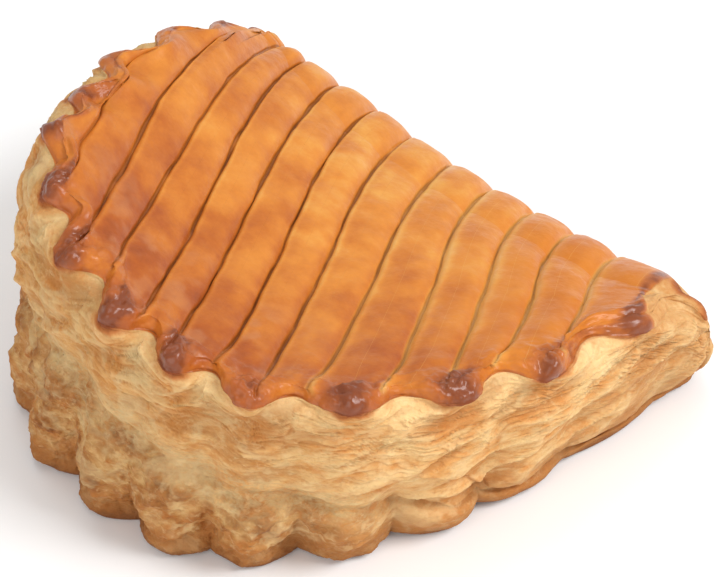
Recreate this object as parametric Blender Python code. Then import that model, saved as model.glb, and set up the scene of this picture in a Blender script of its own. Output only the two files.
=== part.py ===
"""Apple turnover: an oval of puff pastry folded over its filling, with a fluted, puffed edge.

The straight fold lies along X at +Y and the rounded, fluted edge faces -Y.
Z is up, z = 0 is the table, and the middle of the footprint is the origin.
"""
import bpy
import numpy as np
from math import pi

for ob in list(bpy.data.objects):
    bpy.data.objects.remove(ob, do_unlink=True)

# ---------------------------------------------------------------- sizes
FOLD = 0.120                    # length of the straight folded side, in metres
MM = 0.001 / FOLD               # a millimetre, in fold lengths; all below is in fold lengths unless it says mm
DEPTH = 0.905                   # reach of the rounded side from the back of the fold
ROUND = 2.33                    # how square the rounded side is (2 is an ellipse)
SKEW = -0.051                   # the crown of the arc sits towards +X
FOOT_IN = 0.030                 # where the fold meets the table, in from its back
FOLD_LEAN = 0.030               # the foot of the fold follows the slant of the strips
RIDGE_IN = 0.099                # the ridge of the fold, in from its back
RIDGE_ENDS = (-0.408, 0.532)     # the ridge's two ends
# inset of the top edge from the foot, at even steps of the arc from the right corner to the left one
INSET = (0.037, 0.045, 0.06, 0.062, 0.025, -0.024, -0.051, -0.066, -0.076, -0.077, -0.058, -0.033, -0.014)
# the top slopes from the tall edge down to the fold: height as a cubic in x and y
TOP = {(0, 0): 0.088, (0, 1): -0.610, (0, 2): -0.791, (0, 3): -0.656, (1, 0): 0.086, (1, 1): 0.461, (1, 2): -0.269, (2, 0): 0.261, (2, 1): -0.957, (3, 0): -0.237}
# the flutes of the edge: their places as shares of the arc, and how far each tip reaches out and turns up
LOBES = (0.013, 0.098, 0.184, 0.243, 0.307, 0.366, 0.415, 0.467, 0.524, 0.582, 0.644, 0.709, 0.769, 0.852, 0.919, 0.969)
REACH_MM = (0.4, -1.6, -0.9, -2.1, -1.6, -1.1, -2.5, -1.9, -2.5, -3.5, -0.4, 0.7, 2.1, 1.4, 1.4, 0.8)
LIFT_MM = (-0.4, 1.5, 0.3, 0.5, 1.5, 1, 1.1, 1.6, -0.2, 0.5, 1.9, -0.6, -0.1, -0, 0.5, 0.2)
FLUTE_FOOT_MM, FLUTE_SEAM_MM, FLUTE_TOP_MM = 2.1, 0.7, 2.6
FLUTE_DEEPER = 0.5              # the flutes are deeper round the tallest part of the edge
FLUTE_FAR = .60                 # and shallower along the far part
DROOP = 0.25                    # the tips of the flutes hang lower than the arches between them
FOOT_LAG = 0.017                # the flutes wander sideways between the top and the foot
# score lines: where each crosses the edge, and the fold side or the far edge (shares of the arc; the fold follows 1.0)
SCORES = ((.577, .824), (.526, .932), (.495, 1.006), (.452, 1.025), (.421, 1.058), (.387, 1.095), (.359, 1.135),
          (.328, 1.181), (.285, 1.225), (.250, 1.268), (.214, 1.310), (.171, 1.354))
POLE_L, POLE_R = .735, .010     # where the first and last strips run out
POLE_IN_MM = 5.0               # the first strip runs out this far in from the edge
SCORE_MM, SCORE_HALF_MM = 0.9, 0.8
PILLOW_MM = 1.1                 # how far the strips puff up between the score lines
RIDGE_PUFF = .8                 # the strips puff up more where they turn over the ridge
BOW = .012                      # sideways bow of the score lines
LEAN = -.45                     # slant of the strips where they go over the fold
RIM_R, RIDGE_R = 2.0 * MM, 6.5 * MM
FOOT_R, FOLD_FOOT_R = 1.2 * MM, 4.0 * MM
# bulge of the side at even steps of its height, in mm: lower sheet, seam in the middle, upper sheet, top edge
SIDE_MM = (0, .9, 2.0, 2.6, 2.4, .4, 1.6, 2.3, 2.3, 1.9, 0)
SEAM_MM = (3, 3.5, 5, 14, 21, 28, 27, 22, 18, 13, 8)     # height of the seam between the two sheets along the arc
BULGE = (1.43, 0.9, 0.83, 0.79, 0.61, 1.07, 1.88, 1.54, 1.56, 1.04, 0.97)     # how much the upper sheet bulges along the arc
FOLD_BULGE = 0.059              # bulge of the folded side

CRUST = (0.62, 0.27, 0.075)     # golden-brown baked pastry


# ---------------------------------------------------------------- curves
def step(x, a, b):
    t = np.clip((x - a) / (b - a), 0, 1)
    return t * t * (3 - 2 * t)


def monotone(xs, ys, x):
    """Smooth curve through rising points, with no overshoot."""
    xs, ys = np.array(xs, float), np.array(ys, float)
    h = np.diff(xs)
    d = np.diff(ys) / h
    m = np.concatenate([d[:1], np.zeros(len(d) - 1), d[-1:]])
    for i in range(1, len(xs) - 1):
        if d[i - 1] * d[i] > 0:
            w1, w2 = 2 * h[i] + h[i - 1], h[i] + 2 * h[i - 1]
            m[i] = (w1 + w2) / (w1 / d[i - 1] + w2 / d[i])
    i = np.clip(np.searchsorted(xs, x) - 1, 0, len(xs) - 2)
    t = (x - xs[i]) / h[i]
    return ((1 + 2 * t) * (1 - t) ** 2 * ys[i] + t * (1 - t) ** 2 * h[i] * m[i]
            + t * t * (3 - 2 * t) * ys[i + 1] + t * t * (t - 1) * h[i] * m[i + 1])


def through(ys, x):
    """Catmull-Rom curve through values at even steps of x from 0 to 1."""
    ys = np.array(ys, float)
    n = len(ys)
    y = np.concatenate([[2 * ys[0] - ys[1]], ys, [2 * ys[-1] - ys[-2]]])
    u = np.clip(x, 0, 1) * (n - 1)
    i = np.clip(u.astype(int), 0, n - 2)
    t = u - i
    a, b, c, d = y[i], y[i + 1], y[i + 2], y[i + 3]
    return .5 * (2 * b + (c - a) * t + (2 * a - 5 * b + 4 * c - d) * t * t + (3 * b - a - 3 * c + d) * t ** 3)


def blur(a, sigma):
    """Rounds a closed table of values."""
    k = np.arange(-int(4 * sigma), int(4 * sigma) + 1)
    w = np.exp(-.5 * (k / sigma) ** 2)
    p = np.concatenate([a[-len(k):], a, a[:len(k)]])
    return np.convolve(p, w / w.sum(), 'same')[len(k):-len(k)]


# ---------------------------------------------------------------- outline
def arc(n=4001):
    t = np.linspace(0, pi, n)
    c, s = np.cos(t), np.sin(t)
    y = -DEPTH * np.maximum(abs(s), 1e-9) ** (2 / ROUND)
    x = .5 * np.sign(c) * np.maximum(abs(c), 1e-9) ** (2 / ROUND) + SKEW * y
    a = np.concatenate([[0], np.cumsum(np.hypot(np.diff(x), np.diff(y)))])
    return x, y, a / a[-1], a[-1]


ARC_X, ARC_Y, ARC_S, ARC_LENGTH = arc()
ONCE_ROUND = 1 + 1 / ARC_LENGTH     # the arc counts as 1 and the fold as its own length of that


def outlines(n=4000):
    """Foot line and top line round the part, their outward direction, and how much each spot is fold."""
    q = np.arange(n) / n * ONCE_ROUND
    s, t, fold = np.clip(q, 0, 1), np.clip((q - 1) * ARC_LENGTH, 0, 1), q > 1
    ax, ay = np.interp(s, ARC_S, ARC_X), np.interp(s, ARC_S, ARC_Y)
    e = .004
    dx = np.interp(s + e, ARC_S, ARC_X) - np.interp(s - e, ARC_S, ARC_X)
    dy = np.interp(s + e, ARC_S, ARC_Y) - np.interp(s - e, ARC_S, ARC_Y)
    inset = through(INSET, s) / np.hypot(dx, dy)
    bx = np.where(fold, -.5 + t - FOLD_LEAN * 4 * t * (1 - t), ax)
    by = np.where(fold, -FOOT_IN, np.minimum(ay, -FOOT_IN))
    tx = np.where(fold, RIDGE_ENDS[0] + t * (RIDGE_ENDS[1] - RIDGE_ENDS[0]), ax - dy * inset)
    ty = np.where(fold, -RIDGE_IN, np.minimum(ay + dx * inset, -RIDGE_IN))
    bx, by, tx, ty = (blur(a, .011 / ONCE_ROUND * n) for a in (bx, by, tx, ty))
    soft = blur(fold.astype(float), .030 / ONCE_ROUND * n)
    fold = blur(fold.astype(float), .012 / ONCE_ROUND * n)
    dx, dy = np.roll(bx, -1) - np.roll(bx, 1), np.roll(by, -1) - np.roll(by, 1)
    return q, dict(bx=bx, by=by, tx=tx, ty=ty, fold=fold, soft=step(soft, .55, 1),
                   nx=-dy / np.hypot(dx, dy), ny=dx / np.hypot(dx, dy))


AT, LINES = outlines()


def at(name, q):
    return np.interp(np.mod(q, ONCE_ROUND), np.append(AT, ONCE_ROUND), np.append(LINES[name], LINES[name][0]))


# ---------------------------------------------------------------- relief
def top_height(x, y):
    return sum(c * x ** i * y ** j for (i, j), c in TOP.items())


def lobe(q, h):
    """Which flute a place is on: whole numbers at the tips, halves in the arches between them."""
    q = np.where(q > 1.2, q - ONCE_ROUND, q)
    lag = FOOT_LAG * step(q, .33, .55) * (1 - step(q, .6, .75)) * (1 - step(h, 0, .8))
    return np.interp(q - lag, (-.066,) + tuple(LOBES) + (1.03,), np.arange(len(LOBES) + 2)), q


def flute(q, h):
    """The waves of the edge, outward, at a share h of its height: broad scallops at the foot, narrow tips on top."""
    phase, q = lobe(q, h)
    c = abs(np.cos(pi * (phase - np.round(phase))))
    deep = 1 + FLUTE_DEEPER * np.exp(-((phase - 8.7) / 2.2) ** 2)
    size = (FLUTE_FOOT_MM * (.45 + .55 * step(q, .15, .27)) * (1 - step(h, 0, .45)) + FLUTE_SEAM_MM * step(h, 0, .45)
            + (FLUTE_TOP_MM - FLUTE_SEAM_MM) * step(h, .72, 1.0) * deep * (1 - FLUTE_FAR * step(q, .57, .63)))
    tip = c ** 2 * np.interp(phase, np.arange(18), (0,) + tuple(REACH_MM) + (0,)) * step(h, .6, 1)
    return (size * (2 * c ** (1.0 + .8 * step(h, .3, .95)) - 1) + tip) * MM


def dip(q):
    """How much lower the tips of the flutes hang than the arches."""
    phase, q = lobe(q, np.ones_like(q))
    c = abs(np.cos(pi * (phase - np.round(phase))))
    return DROOP * flute(q, np.ones_like(q)) - c ** 2 * np.interp(phase, np.arange(18), (0,) + tuple(LIFT_MM) + (0,)) * MM


def side(q, h, height, fold):
    """How far the side stands out of the straight line from foot to top."""
    s = np.clip(np.where(q > 1.2, q - ONCE_ROUND, q), 0, 1)
    seam = through(SEAM_MM, s) * MM
    g = np.clip(seam / height, .04, .8)
    u = np.where(h < g, .5 * h / g, .5 + .5 * (h - g) / (1 - g))
    size = np.where(h < g, np.minimum(1, seam / (15 * MM)), through(BULGE, s))
    round_fold = FOLD_BULGE * (.3 + .7 * step(q, 1.0, 1.10)) * np.sin(pi * np.clip(h, 0, 1) ** .85)
    return through(SIDE_MM, u) * MM * size * (1 - fold) + round_fold * fold


def relief(k, v, front):
    """Strips puffed up between the score lines; v runs from the fold, 0, to the edge, 1."""
    f = k - np.floor(k)
    puff = 1 - abs(2 * f - 1) ** 3
    ends = np.where(front > 0, 1 - step(v, .86, 1.0), 1.0) * (1 - step(k, 12.2, 12.9)) * step(k, .05, .5)
    late = np.where((k > 10.2) & (front < 0), step(v, 0, .18), 1.0)
    size = PILLOW_MM * (1 + RIDGE_PUFF * (1 - step(v, 0, .3)))
    line = np.where(abs(k - np.round(k)) < 1e-6, SCORE_MM, 0) * np.where((k > .5) & (k < 12.5), 1, 0)
    return (size * puff - line * .35) * MM * ends * late


# ---------------------------------------------------------------- loft
def from_edge(xy):
    """Sideways shift and lift that the waves of the far edge pass on to places on the top near it."""
    t = np.linspace(.45, .99, 1200)
    out = np.stack([at('nx', t), at('ny', t)], 1)
    out /= np.hypot(*out.T)[:, None]
    e = np.stack([at('tx', t), at('ty', t)], 1) - out * RIM_R
    wave = flute(t, np.ones_like(t))
    lift = top_height(*e.T) - dip(t) - top_height(*(e + out * wave[:, None]).T)
    j = ((xy[:, None] - e[None]) ** 2).sum(2).argmin(1)
    de = np.gradient(e, t, axis=0)[j]
    u = t[j] + np.clip(((xy - e[j]) * de).sum(1) / (de ** 2).sum(1), t[0] - t[1], t[1] - t[0])
    on = [np.interp(u, t, a) for a in (e[:, 0], e[:, 1], out[:, 0] * wave, out[:, 1] * wave, lift)]
    d = np.hypot(xy[:, 0] - on[0], xy[:, 1] - on[1]) / MM
    return np.stack(on[2:4], 1) * np.exp(-(d / 2.8) ** 2)[:, None], on[4] * np.exp(-(d / 4) ** 2)


def loft(steps, bottom, foot, wall, rim, top):
    """Sections that run from the middle of the underside, out, up the side, over the top edge and in again.

    The sections stand in pairs, one in front and one behind, that share a point in the middle above
    and below, so each pair with its strip of the top lies along a score line.
    """
    n_lines = len(SCORES)
    g = np.arange(n_lines + 2, dtype=float)
    k = np.concatenate([i + np.array(steps(i)) for i in range(n_lines + 1)] + [[n_lines + 1.0]])
    qf = monotone(g, [POLE_R] + [a for a, b in SCORES[::-1]] + [POLE_L], k)
    qb = monotone(g, [POLE_R + ONCE_ROUND] + [b for a, b in SCORES[::-1]] + [POLE_L], k)
    last = len(k) - 1
    kk, q = np.concatenate([k, k[1:-1][::-1]]), np.concatenate([qf, qb[1:-1][::-1]])
    front = np.concatenate([np.ones(last + 1), -np.ones(last - 1)])
    n = len(q)
    fold = at('fold', q)
    foot_line, top_line = np.stack([at('bx', q), at('by', q)], 1), np.stack([at('tx', q), at('ty', q)], 1)
    out = np.stack([at('nx', q), at('ny', q)], 1)
    out /= np.hypot(*out.T)[:, None]
    lean = out + np.stack([LEAN * at('soft', q), 0 * fold], 1)
    soft = at('soft', q)
    rho = RIM_R * (1 - soft) + RIDGE_R * soft
    rf = FOOT_R * (1 - soft) + FOLD_FOOT_R * soft

    def middle(line):
        """The line of meeting points, from one pole to the other."""
        mid = (line[:last + 1] + np.concatenate([line[:1], line[last + 1:][::-1], line[last:last + 1]])) / 2
        line_up = mid.copy()
        for end in (0, last):
            pole = line[end] - out[end] * (6.5 if end == 0 else POLE_IN_MM) * MM
            far = np.arange(last + 1)[np.hypot(*(mid - line[end]).T) > 10 * MM]
            m = far.min() if end == 0 else int(np.searchsorted(k, n_lines - 1e-6))
            a = abs(np.arange(last + 1) - end) / abs(m - end)
            line_up[a < 1] = pole + (mid[m] - pole) * (a[a < 1] ** .8)[:, None]
        return np.concatenate([line_up, line_up[1:-1][::-1]])

    edge = top_line - out * rho[:, None]
    on_edge = relief(kk, np.where(front > 0, 1., 0.), front)
    height = top_height(*edge.T) + on_edge - dip(q) * (1 - fold)

    def plan(h):
        return (foot_line + (top_line - foot_line) * h[:, None]
                + out * (side(q, h, height, fold) + flute(q, h) * (1 - fold))[:, None])

    mid_top, mid_foot = middle(top_line), middle(foot_line)
    rows = []
    inner = plan(np.zeros(n)) - out * rf[:, None]
    for u in bottom:
        rows.append(np.column_stack([mid_foot + (inner - mid_foot) * u, np.zeros(n)]))
    for a in foot:
        z = rf * (1 - np.cos(a))
        rows.append(np.column_stack([plan(z / height) - out * (rf * (1 - np.sin(a)))[:, None], z]))
    for u in wall:
        z = rf + (height - rho - rf) * u
        rows.append(np.column_stack([plan(z / height), z]))
    for a in rim:
        z = height - rho + rho * np.sin(a)
        rows.append(np.column_stack([plan(z / height) - lean * (rho * (1 - np.cos(a)))[:, None], z]))
    start = plan(np.ones(n)) - lean * rho[:, None]
    even = top_line - lean * rho[:, None]
    span = np.hypot(*(even - mid_top).T)
    far = np.where(kk > 10.5)[0]
    far_part = step(kk[far], 10.5, 11.5)
    for r in top:
        v = np.where(front > 0, 1 - .5 * r, .5 * r)
        bow = BOW * 6.75 * v * (1 - v) ** 2 * np.minimum(1, span / .3) * (1 - step(kk, 11, 12))
        along = span * r / MM
        shift = (start - even) * (np.exp(-(along / 8) ** 2) * (1 - r))[:, None]
        lift = (height - on_edge - top_height(*start.T)) * np.exp(-(along / 7) ** 2) * (1 - r)
        xy = even + (mid_top - even) * r - np.stack([bow, 0 * v], 1)
        near_shift, near_lift = from_edge(xy[far])
        shift[far] += (near_shift - shift[far]) * far_part[:, None]
        lift[far] += (near_lift - lift[far]) * far_part
        xy = xy + shift
        z = top_height(*xy.T) + relief(kk, v, front) + lift
        rows.append(np.column_stack([xy, z]))
    return np.stack(rows, 1) * FOLD, last


def solid(grid, last):
    """Closed mesh of the loft: the first and last rows are shared by each pair of sections."""
    n, m, _ = grid.shape
    twin = np.concatenate([np.arange(last + 1), np.arange(last + 1, n)])
    twin[last + 1:] = n - twin[last + 1:]
    index = np.arange(n * m).reshape(n, m)
    index[:, 0], index[:, -1] = index[twin, 0], index[twin, -1]
    quads = []
    for i in range(n):
        j = (i + 1) % n
        for r in range(m - 1):
            quads.append((index[i, r], index[i, r + 1], index[j, r + 1], index[j, r]))
    used = np.unique(index)
    new = {int(a): b for b, a in enumerate(used)}
    faces = []
    for f in quads:
        f = list(dict.fromkeys(new[int(a)] for a in f))
        if len(f) > 2:
            faces.append(f)
    return grid.reshape(-1, 3)[used], faces


# ---------------------------------------------------------------- build
h = SCORE_HALF_MM * .1


def steps(strip):
    """Where the sections stand across a strip: close by its score lines, and closer where it meets the far edge."""
    between = {10: 9, 12: 13}.get(strip, 3)
    return [0, h] + list(np.linspace(h, 1 - h, between + 2)[1:-1]) + [1 - h]


grid, last = loft(
    steps=steps,
    bottom=[0, .5, 1],
    foot=[pi / 4],
    wall=[0, .1, .22, .34, .44, .54, .64, .74, .84, .92, 1],
    rim=[pi / 4, pi / 2],
    top=[.03, .08, .2, .4, .6, .8, 1])
verts, faces = solid(grid, last)
low, high = verts.min(0), verts.max(0)
verts = verts - [(low[0] + high[0]) / 2, (low[1] + high[1]) / 2, low[2]]

home = bpy.data.collections.new("apple_turnover")
bpy.context.scene.collection.children.link(home)
mesh = bpy.data.meshes.new("turnover")
mesh.from_pydata(verts.tolist(), [], faces)
mesh.update()
part = bpy.data.objects.new("turnover", mesh)
home.objects.link(part)
bpy.context.view_layer.objects.active = part
part.select_set(True)

crust = bpy.data.materials.new("baked_crust")
crust.use_nodes = True
shader = crust.node_tree.nodes["Principled BSDF"]
shader.inputs["Base Color"].default_value = (*CRUST, 1)
shader.inputs["Roughness"].default_value = 0.55
shader.inputs["Metallic"].default_value = 0.0
mesh.materials.append(crust)
mesh.shade_smooth()
mesh.set_sharp_from_angle(angle=0.9)
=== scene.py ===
from math import pi, radians
import bpy
import numpy as np
from mathutils import Matrix, Vector


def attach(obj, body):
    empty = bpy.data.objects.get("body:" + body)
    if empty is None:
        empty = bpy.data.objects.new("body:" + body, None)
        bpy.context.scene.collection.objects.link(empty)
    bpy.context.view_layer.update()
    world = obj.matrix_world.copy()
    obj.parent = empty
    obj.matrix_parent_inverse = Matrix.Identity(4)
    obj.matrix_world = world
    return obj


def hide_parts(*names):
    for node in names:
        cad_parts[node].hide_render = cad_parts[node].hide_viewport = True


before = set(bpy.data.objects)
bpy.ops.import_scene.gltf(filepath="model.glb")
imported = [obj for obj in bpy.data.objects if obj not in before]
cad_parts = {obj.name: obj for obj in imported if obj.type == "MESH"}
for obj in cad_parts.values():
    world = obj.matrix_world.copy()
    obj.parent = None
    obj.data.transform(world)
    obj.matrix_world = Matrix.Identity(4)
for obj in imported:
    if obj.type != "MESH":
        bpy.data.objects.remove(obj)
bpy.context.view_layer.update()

# ================================================================ the part's form, as in the CAD
FOLD = 0.120
MM = 0.001 / FOLD
DEPTH = 0.905
ROUND = 2.33
SKEW = -0.051
FOOT_IN = 0.030
FOLD_LEAN = 0.030
RIDGE_IN = 0.099
RIDGE_ENDS = (-0.408, 0.532)
INSET = (0.037, 0.045, 0.06, 0.062, 0.025, -0.024, -0.051, -0.066, -0.076, -0.077, -0.058, -0.033, -0.014)
TOP = {(0, 0): 0.088, (0, 1): -0.610, (0, 2): -0.791, (0, 3): -0.656, (1, 0): 0.086, (1, 1): 0.461, (1, 2): -0.269, (2, 0): 0.261, (2, 1): -0.957, (3, 0): -0.237}
LOBES = (0.013, 0.098, 0.184, 0.243, 0.307, 0.366, 0.415, 0.467, 0.524, 0.582, 0.644, 0.709, 0.769, 0.852, 0.919, 0.969)
REACH_MM = (0.4, -1.6, -0.9, -2.1, -1.6, -1.1, -2.5, -1.9, -2.5, -3.5, -0.4, 0.7, 2.1, 1.4, 1.4, 0.8)
LIFT_MM = (-0.4, 1.5, 0.3, 0.5, 1.5, 1, 1.1, 1.6, -0.2, 0.5, 1.9, -0.6, -0.1, -0, 0.5, 0.2)
FLUTE_FOOT_MM, FLUTE_SEAM_MM, FLUTE_TOP_MM = 2.1, 0.7, 2.6
FLUTE_DEEPER = 0.5
FLUTE_FAR = .60
DROOP = 0.25
FOOT_LAG = 0.017
SCORES = ((.577, .824), (.526, .932), (.495, 1.006), (.452, 1.025), (.421, 1.058), (.387, 1.095), (.359, 1.135),
          (.328, 1.181), (.285, 1.225), (.250, 1.268), (.214, 1.310), (.171, 1.354))
POLE_L, POLE_R = .735, .010
POLE_IN_MM = 5.0
PILLOW_MM = 1.1
RIDGE_PUFF = .8
BOW = .012
LEAN = -.45
RIM_R, RIDGE_R = 2.0 * MM, 6.5 * MM
FOOT_R, FOLD_FOOT_R = 1.2 * MM, 4.0 * MM
SIDE_MM = (0, .9, 2.0, 2.6, 2.4, .4, 1.6, 2.3, 2.3, 1.9, 0)
SEAM_MM = (3, 3.5, 5, 14, 21, 28, 27, 22, 18, 13, 8)
BULGE = (1.43, 0.9, 0.83, 0.79, 0.61, 1.07, 1.88, 1.54, 1.56, 1.04, 0.97)
FOLD_BULGE = 0.059


def step(x, a, b):
    t = np.clip((x - a) / (b - a), 0, 1)
    return t * t * (3 - 2 * t)


def monotone(xs, ys, x):
    xs, ys = np.array(xs, float), np.array(ys, float)
    h = np.diff(xs)
    d = np.diff(ys) / h
    m = np.concatenate([d[:1], np.zeros(len(d) - 1), d[-1:]])
    for i in range(1, len(xs) - 1):
        if d[i - 1] * d[i] > 0:
            w1, w2 = 2 * h[i] + h[i - 1], h[i] + 2 * h[i - 1]
            m[i] = (w1 + w2) / (w1 / d[i - 1] + w2 / d[i])
    i = np.clip(np.searchsorted(xs, x) - 1, 0, len(xs) - 2)
    t = (x - xs[i]) / h[i]
    return ((1 + 2 * t) * (1 - t) ** 2 * ys[i] + t * (1 - t) ** 2 * h[i] * m[i]
            + t * t * (3 - 2 * t) * ys[i + 1] + t * t * (t - 1) * h[i] * m[i + 1])


def through(ys, x):
    ys = np.array(ys, float)
    n = len(ys)
    y = np.concatenate([[2 * ys[0] - ys[1]], ys, [2 * ys[-1] - ys[-2]]])
    u = np.clip(x, 0, 1) * (n - 1)
    i = np.clip(u.astype(int), 0, n - 2)
    t = u - i
    a, b, c, d = y[i], y[i + 1], y[i + 2], y[i + 3]
    return .5 * (2 * b + (c - a) * t + (2 * a - 5 * b + 4 * c - d) * t * t + (3 * b - a - 3 * c + d) * t ** 3)


def blur(a, sigma):
    k = np.arange(-int(4 * sigma), int(4 * sigma) + 1)
    w = np.exp(-.5 * (k / sigma) ** 2)
    p = np.concatenate([a[-len(k):], a, a[:len(k)]])
    return np.convolve(p, w / w.sum(), 'same')[len(k):-len(k)]


def arc(n=4001):
    t = np.linspace(0, pi, n)
    c, s = np.cos(t), np.sin(t)
    y = -DEPTH * np.maximum(abs(s), 1e-9) ** (2 / ROUND)
    x = .5 * np.sign(c) * np.maximum(abs(c), 1e-9) ** (2 / ROUND) + SKEW * y
    a = np.concatenate([[0], np.cumsum(np.hypot(np.diff(x), np.diff(y)))])
    return x, y, a / a[-1], a[-1]


ARC_X, ARC_Y, ARC_S, ARC_LENGTH = arc()
ONCE_ROUND = 1 + 1 / ARC_LENGTH


def outlines(n=4000):
    q = np.arange(n) / n * ONCE_ROUND
    s, t, fold = np.clip(q, 0, 1), np.clip((q - 1) * ARC_LENGTH, 0, 1), q > 1
    ax, ay = np.interp(s, ARC_S, ARC_X), np.interp(s, ARC_S, ARC_Y)
    e = .004
    dx = np.interp(s + e, ARC_S, ARC_X) - np.interp(s - e, ARC_S, ARC_X)
    dy = np.interp(s + e, ARC_S, ARC_Y) - np.interp(s - e, ARC_S, ARC_Y)
    inset = through(INSET, s) / np.hypot(dx, dy)
    bx = np.where(fold, -.5 + t - FOLD_LEAN * 4 * t * (1 - t), ax)
    by = np.where(fold, -FOOT_IN, np.minimum(ay, -FOOT_IN))
    tx = np.where(fold, RIDGE_ENDS[0] + t * (RIDGE_ENDS[1] - RIDGE_ENDS[0]), ax - dy * inset)
    ty = np.where(fold, -RIDGE_IN, np.minimum(ay + dx * inset, -RIDGE_IN))
    bx, by, tx, ty = (blur(a, .011 / ONCE_ROUND * n) for a in (bx, by, tx, ty))
    soft = blur(fold.astype(float), .030 / ONCE_ROUND * n)
    fold = blur(fold.astype(float), .012 / ONCE_ROUND * n)
    dx, dy = np.roll(bx, -1) - np.roll(bx, 1), np.roll(by, -1) - np.roll(by, 1)
    return q, dict(bx=bx, by=by, tx=tx, ty=ty, fold=fold, soft=step(soft, .55, 1),
                   nx=-dy / np.hypot(dx, dy), ny=dx / np.hypot(dx, dy))


AT, LINES = outlines()


def at(name, q):
    return np.interp(np.mod(q, ONCE_ROUND), np.append(AT, ONCE_ROUND), np.append(LINES[name], LINES[name][0]))


def top_height(x, y):
    return sum(c * x ** i * y ** j for (i, j), c in TOP.items())


def lobe(q, h):
    """Which flute a place is on: whole numbers at the tips, halves in the arches between them."""
    q = np.where(q > 1.2, q - ONCE_ROUND, q)
    lag = FOOT_LAG * step(q, .33, .55) * (1 - step(q, .6, .75)) * (1 - step(h, 0, .8))
    return np.interp(q - lag, (-.066,) + tuple(LOBES) + (1.03,), np.arange(len(LOBES) + 2)), q


def flute(q, h):
    phase, q = lobe(q, h)
    c = abs(np.cos(pi * (phase - np.round(phase))))
    deep = 1 + FLUTE_DEEPER * np.exp(-((phase - 8.7) / 2.2) ** 2)
    size = (FLUTE_FOOT_MM * (.45 + .55 * step(q, .15, .27)) * (1 - step(h, 0, .45)) + FLUTE_SEAM_MM * step(h, 0, .45)
            + (FLUTE_TOP_MM - FLUTE_SEAM_MM) * step(h, .72, 1.0) * deep * (1 - FLUTE_FAR * step(q, .57, .63)))
    tip = c ** 2 * np.interp(phase, np.arange(18), (0,) + tuple(REACH_MM) + (0,)) * step(h, .6, 1)
    return (size * (2 * c ** (1.0 + .8 * step(h, .3, .95)) - 1) + tip) * MM


def dip(q):
    """How much lower the tips of the flutes hang than the arches."""
    phase, q = lobe(q, np.ones_like(q))
    c = abs(np.cos(pi * (phase - np.round(phase))))
    return DROOP * flute(q, np.ones_like(q)) - c ** 2 * np.interp(phase, np.arange(18), (0,) + tuple(LIFT_MM) + (0,)) * MM


def side(q, h, height, fold):
    s = np.clip(np.where(q > 1.2, q - ONCE_ROUND, q), 0, 1)
    seam = through(SEAM_MM, s) * MM
    g = np.clip(seam / height, .04, .8)
    u = np.where(h < g, .5 * h / g, .5 + .5 * (h - g) / (1 - g))
    size = np.where(h < g, np.minimum(1, seam / (15 * MM)), through(BULGE, s))
    round_fold = FOLD_BULGE * (.3 + .7 * step(q, 1.0, 1.10)) * np.sin(pi * np.clip(h, 0, 1) ** .85)
    return through(SIDE_MM, u) * MM * size * (1 - fold) + round_fold * fold


def relief(k, v, front):
    f = k - np.floor(k)
    puff = 1 - abs(2 * f - 1) ** 3
    ends = np.where(front > 0, 1 - step(v, .86, 1.0), 1.0) * (1 - step(k, 12.2, 12.9)) * step(k, .05, .5)
    late = np.where((k > 10.2) & (front < 0), step(v, 0, .18), 1.0)
    size = PILLOW_MM * (1 + RIDGE_PUFF * (1 - step(v, 0, .3)))
    return size * puff * MM * ends * late


def from_edge(xy):
    """Sideways shift and lift that the waves of the far edge pass on to places on the top near it."""
    t = np.linspace(.45, .99, 1200)
    out = np.stack([at('nx', t), at('ny', t)], 1)
    out /= np.hypot(*out.T)[:, None]
    e = np.stack([at('tx', t), at('ty', t)], 1) - out * RIM_R
    wave = flute(t, np.ones_like(t))
    lift = top_height(*e.T) - dip(t) - top_height(*(e + out * wave[:, None]).T)
    j = ((xy[:, None] - e[None]) ** 2).sum(2).argmin(1)
    de = np.gradient(e, t, axis=0)[j]
    u = t[j] + np.clip(((xy - e[j]) * de).sum(1) / (de ** 2).sum(1), t[0] - t[1], t[1] - t[0])
    on = [np.interp(u, t, a) for a in (e[:, 0], e[:, 1], out[:, 0] * wave, out[:, 1] * wave, lift)]
    d = np.hypot(xy[:, 0] - on[0], xy[:, 1] - on[1]) / MM
    return np.stack(on[2:4], 1) * np.exp(-(d / 2.8) ** 2)[:, None], on[4] * np.exp(-(d / 4) ** 2)


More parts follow.
